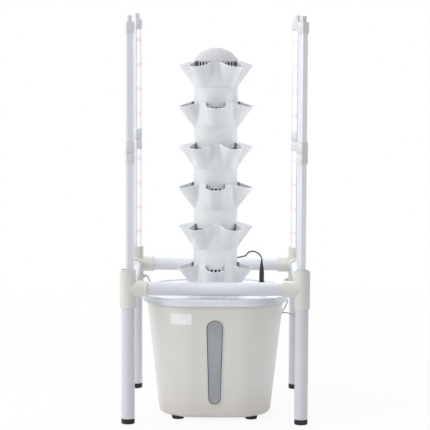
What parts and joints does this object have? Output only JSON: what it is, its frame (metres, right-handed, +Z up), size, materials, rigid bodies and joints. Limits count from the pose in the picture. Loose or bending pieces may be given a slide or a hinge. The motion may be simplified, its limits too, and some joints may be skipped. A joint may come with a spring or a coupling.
{
  "type": "hydroponic tower",
  "caption": "Indoor growing tower: slanted pots stacked on a water tub with a level window, inside a square tube frame that carries upright light bars.",
  "frame": {"origin": "on the floor at the centre of the light frame", "axes": "+Z up, -Y towards the front with the level window, +X to the viewer's right"},
  "size_m": [0.45, 0.45, 0.9685],
  "materials": {
    "tube": "satin",
    "fitting": "satin",
    "foot": "matte",
    "post_plastic": "satin",
    "post_housing": "satin",
    "post_cover": "lit",
    "post_board": "matte",
    "tub": "satin",
    "window": "translucent",
    "window_rim": "satin",
    "label": "matte",
    "lid": "satin",
    "planter": "satin",
    "riser": "satin",
    "black_plastic": "satin",
    "pump_vane": "satin",
    "black_lead": "matte",
    "grey_lead": "matte",
    "gland": "satin"
  },
  "bodies": {
    "stand": {"leg_front_left": "tube", "fitting_front_left": "fitting", "leg_front_right": "tube", "fitting_front_right": "fitting", "leg_rear_left": "tube", "fitting_rear_left": "fitting", "leg_rear_right": "tube", "fitting_rear_right": "fitting", "rail_front": "tube", "rail_rear": "tube", "rail_left": "tube", "rail_right": "tube", "leg_feet": "foot", "tub": "tub", "tub_feet": "foot", "window_rim": "window_rim", "window_pane": "window", "label_plate": "label", "lid": "lid", "distributor": "riser", "riser_pipe": "riser", "pump_body": "black_plastic", "pump_cover": "black_plastic", "power_socket": "black_plastic", "power_plug": "black_plastic", "power_lead": "black_lead", "supply_box": "black_plastic", "lead_glands": "gland", "light_lead_rear_left": "grey_lead", "light_lead_rear_right": "grey_lead", "light_lead_front_right": "grey_lead", "tier_1": "planter"},
    "tier_2_body": {"tier_2": "planter"},
    "tier_3_body": {"tier_3": "planter"},
    "tier_4_body": {"tier_4": "planter"},
    "tier_5_body": {"tier_5": "planter"},
    "tier_6_body": {"tier_6": "planter"},
    "dome": {"dome_cap": "planter"},
    "impeller": {"pump_impeller": "pump_vane"},
    "post_front_left": {"post_front_left_plug": "post_plastic", "post_front_left_housings": "post_housing", "post_front_left_boards": "post_board", "post_front_left_covers": "post_cover", "post_front_left_caps": "post_plastic"},
    "post_front_right": {"post_front_right_plug": "post_plastic", "post_front_right_housings": "post_housing", "post_front_right_boards": "post_board", "post_front_right_covers": "post_cover", "post_front_right_caps": "post_plastic"},
    "post_rear_left": {"post_rear_left_plug": "post_plastic", "post_rear_left_housings": "post_housing", "post_rear_left_boards": "post_board", "post_rear_left_covers": "post_cover", "post_rear_left_caps": "post_plastic"},
    "post_rear_right": {"post_rear_right_plug": "post_plastic", "post_rear_right_housings": "post_housing", "post_rear_right_boards": "post_board", "post_rear_right_covers": "post_cover", "post_rear_right_caps": "post_plastic"}
  },
  "joints": [
    {"name": "tier_2_turn", "type": "hinge", "parent": "stand", "child": "tier_2_body", "pos_m": [0, -0.06, 0.4044], "axis": [0, 0, 1], "continuous": true},
    {"name": "tier_3_turn", "type": "hinge", "parent": "tier_2_body", "child": "tier_3_body", "pos_m": [0, -0.06, 0.5024], "axis": [0, 0, 1], "continuous": true},
    {"name": "tier_4_turn", "type": "hinge", "parent": "tier_3_body", "child": "tier_4_body", "pos_m": [0, -0.06, 0.6004], "axis": [0, 0, 1], "continuous": true},
    {"name": "tier_5_turn", "type": "hinge", "parent": "tier_4_body", "child": "tier_5_body", "pos_m": [0, -0.06, 0.6984], "axis": [0, 0, 1], "continuous": true},
    {"name": "tier_6_turn", "type": "hinge", "parent": "tier_5_body", "child": "tier_6_body", "pos_m": [0, -0.06, 0.7964], "axis": [0, 0, 1], "continuous": true},
    {"name": "dome_lift", "type": "slide", "parent": "tier_6_body", "child": "dome", "axis": [0, 0, 1], "range_m": [0, 0.08]},
    {"name": "post_front_left_turn", "type": "hinge", "parent": "stand", "child": "post_front_left", "pos_m": [-0.206, -0.206, 0.3705], "axis": [0, 0, 1], "range_deg": [-90, 90]},
    {"name": "post_front_right_turn", "type": "hinge", "parent": "stand", "child": "post_front_right", "pos_m": [0.206, -0.206, 0.3705], "axis": [0, 0, 1], "range_deg": [-90, 90]},
    {"name": "post_rear_left_turn", "type": "hinge", "parent": "stand", "child": "post_rear_left", "pos_m": [-0.206, 0.206, 0.3705], "axis": [0, 0, 1], "range_deg": [-90, 90]},
    {"name": "post_rear_right_turn", "type": "hinge", "parent": "stand", "child": "post_rear_right", "pos_m": [0.206, 0.206, 0.3705], "axis": [0, 0, 1], "range_deg": [-90, 90]},
    {"name": "impeller_spin", "type": "hinge", "parent": "stand", "child": "impeller", "pos_m": [0, -0.085, 0.0395], "axis": [0, 1, 0], "continuous": true}
  ]
}
